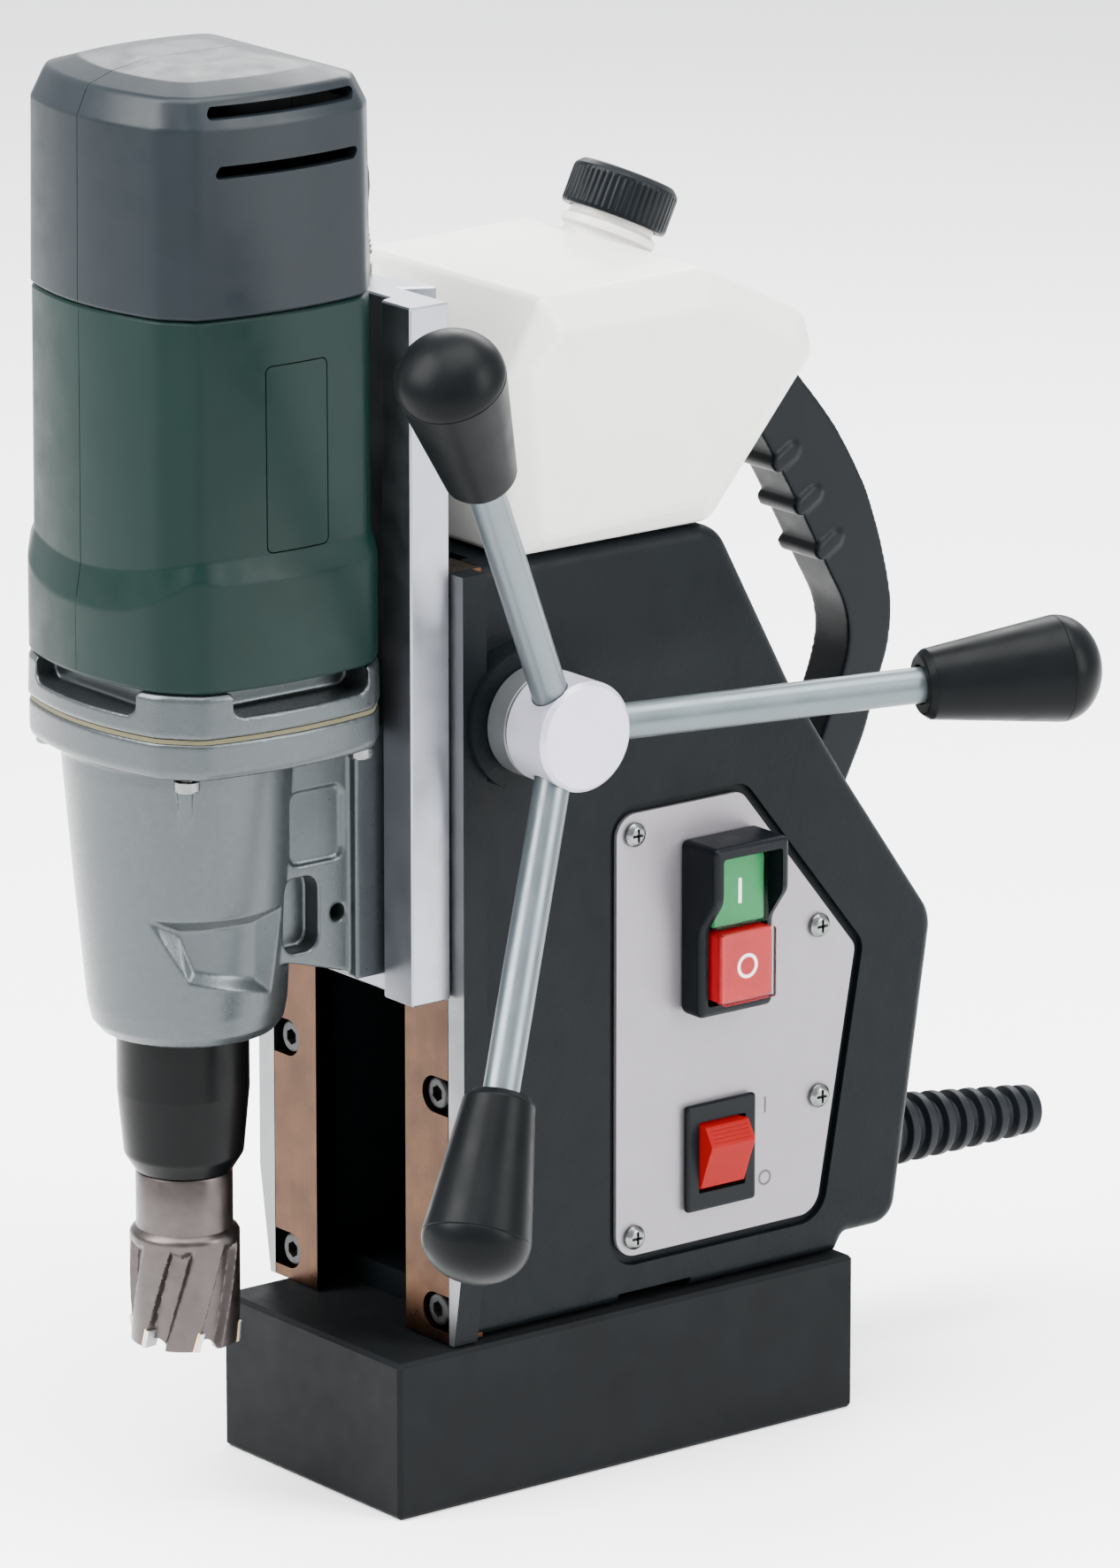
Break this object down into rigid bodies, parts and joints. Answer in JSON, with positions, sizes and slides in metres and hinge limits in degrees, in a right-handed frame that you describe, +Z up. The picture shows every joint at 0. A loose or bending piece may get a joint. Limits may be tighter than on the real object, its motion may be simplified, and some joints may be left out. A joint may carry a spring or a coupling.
{
  "type": "magnetic core drill",
  "caption": "Electromagnet foot and cast column with a dovetail slide that carries a geared drill motor and annular cutter, fed by a rack and a spoked handle",
  "frame": {"origin": "centre of the electromagnet foot's bottom face, which rests on the workpiece", "axes": "+Z up along the feed travel; -Y towards the drill motor; +X towards the side with the feed handle and the control panel"},
  "size_m": [0.1736, 0.3364, 0.4068],
  "materials": {
    "foot_steel": "black coated soft iron, satin",
    "coil_copper": "enamelled copper winding",
    "potting_resin": "cast black resin",
    "column_paint": "fine orange-peel black powder coat, bare machined guide faces",
    "gib_bronze": "machined bronze with vertical scraping marks",
    "black_steel": "black oxide, oiled",
    "panel_aluminium": "fine brushed anodised sheet",
    "zinc_screw": "zinc plated",
    "black_plastic": "black moulded plastic",
    "start_green": "green button under a clear cap",
    "stop_red": "red button under a clear cap",
    "rocker_red": "translucent red lamp rocker",
    "board_green": "green circuit board",
    "milky_tank": "translucent milky polyethylene",
    "black_rubber": "black rubber",
    "satin_silver": "silver satin paint",
    "bright_steel": "ground steel",
    "slide_aluminium": "brushed along its length, scuffed",
    "gear_case_silver": "silver painted die casting",
    "gasket_paper": "olive gasket paper",
    "motor_green": "dark green moulded housing",
    "motor_charcoal": "charcoal moulded cap",
    "stator_iron": "laminated iron with windings",
    "brush_carbon": "carbon",
    "cutter_steel": "tool steel with brazed carbide teeth"
  },
  "bodies": {
    "machine_base": {"magnet_foot": "foot_steel", "magnet_coil": "coil_copper", "coil_potting": "potting_resin", "column_frame": "column_paint", "gib_left": "gib_bronze", "gib_right": "gib_bronze", "gib_screw_1": "black_steel", "gib_screw_2": "black_steel", "gib_screw_3": "black_steel", "gib_screw_4": "black_steel", "panel_plate": "panel_aluminium", "panel_screw_1": "zinc_screw", "panel_screw_2": "zinc_screw", "panel_screw_3": "zinc_screw", "panel_screw_4": "zinc_screw", "switch_shroud": "black_plastic", "rocker_bezel": "black_plastic", "coolant_tank": "milky_tank", "carry_handle": "black_plastic", "cable_boot": "black_rubber", "shaft_collar": "satin_silver", "shaft_bush": "satin_silver", "control_board": "board_green"},
    "tank_cap": {"tank_cap": "black_plastic"},
    "feed_handle": {"feed_hub": "satin_silver", "pinion_shaft": "bright_steel", "spoke_1": "satin_silver", "spoke_2": "satin_silver", "spoke_3": "satin_silver", "knob_1": "black_plastic", "knob_2": "black_plastic", "knob_3": "black_plastic"},
    "start_button": {"start_button": "start_green"},
    "stop_button": {"stop_button": "stop_red"},
    "magnet_rocker": {"magnet_rocker": "rocker_red"},
    "carriage": {"slide_plate": "slide_aluminium", "feed_rack": "bright_steel", "gear_housing": "gear_case_silver", "motor_flange": "gear_case_silver", "flange_gasket": "gasket_paper", "flange_screw_1": "zinc_screw", "flange_screw_2": "zinc_screw", "flange_screw_3": "zinc_screw", "flange_screw_4": "zinc_screw", "motor_housing": "motor_green", "motor_cap_left": "motor_charcoal", "motor_cap_right": "motor_charcoal", "stator": "stator_iron", "brush_left": "brush_carbon", "brush_right": "brush_carbon", "lead_boot": "black_rubber", "lead_spring": "zinc_screw", "lead_fitting": "zinc_screw"},
    "armature": {"armature": "bright_steel"},
    "intermediate_gear": {"intermediate_gear": "bright_steel"},
    "spindle": {"output_gear": "bright_steel", "spindle": "bright_steel", "arbor_sleeve": "black_steel", "annular_cutter": "cutter_steel"}
  },
  "joints": [
    {"name": "carriage_slide", "type": "slide", "parent": "machine_base", "child": "carriage", "axis": [0, 0, 1], "range_m": [-0.098, 0.06]},
    {"name": "feed_turn", "type": "hinge", "parent": "machine_base", "child": "feed_handle", "pos_m": [0.0584, -0.0377, 0.2218], "axis": [1, 0, 0], "range_deg": [-290, 470]},
    {"name": "spindle_spin", "type": "hinge", "parent": "carriage", "child": "spindle", "pos_m": [-0.004, -0.1193, 0.15], "axis": [0, 0, 1], "continuous": true},
    {"name": "intermediate_spin", "type": "hinge", "parent": "carriage", "child": "intermediate_gear", "pos_m": [0.01031, -0.11695, 0.2], "axis": [0, 0, 1], "continuous": true},
    {"name": "armature_spin", "type": "hinge", "parent": "carriage", "child": "armature", "pos_m": [-0.004, -0.1146, 0.3], "axis": [0, 0, 1], "continuous": true},
    {"name": "start_press", "type": "slide", "parent": "machine_base", "child": "start_button", "axis": [-1, 0, 0], "range_m": [0, 0.003], "stiffness_N_per_m": 600, "springref_m": -0.002},
    {"name": "stop_press", "type": "slide", "parent": "machine_base", "child": "stop_button", "axis": [-1, 0, 0], "range_m": [0, 0.003], "stiffness_N_per_m": 600, "springref_m": -0.002},
    {"name": "magnet_rock", "type": "hinge", "parent": "machine_base", "child": "magnet_rocker", "pos_m": [0.036, 0.03375, 0.0835], "axis": [0, 1, 0], "range_deg": [0, 18]},
    {"name": "cap_lift", "type": "slide", "parent": "machine_base", "child": "tank_cap", "axis": [0, 0.4352, 0.9003], "range_m": [0, 0.03]}
  ],
  "couplings": [
    {"joint": "feed_turn", "follows": "carriage_slide", "rad_per_m": -83.333},
    {"joint": "intermediate_spin", "follows": "spindle_spin", "ratio": -2.2222},
    {"joint": "armature_spin", "follows": "spindle_spin", "ratio": 5.8333}
  ]
}
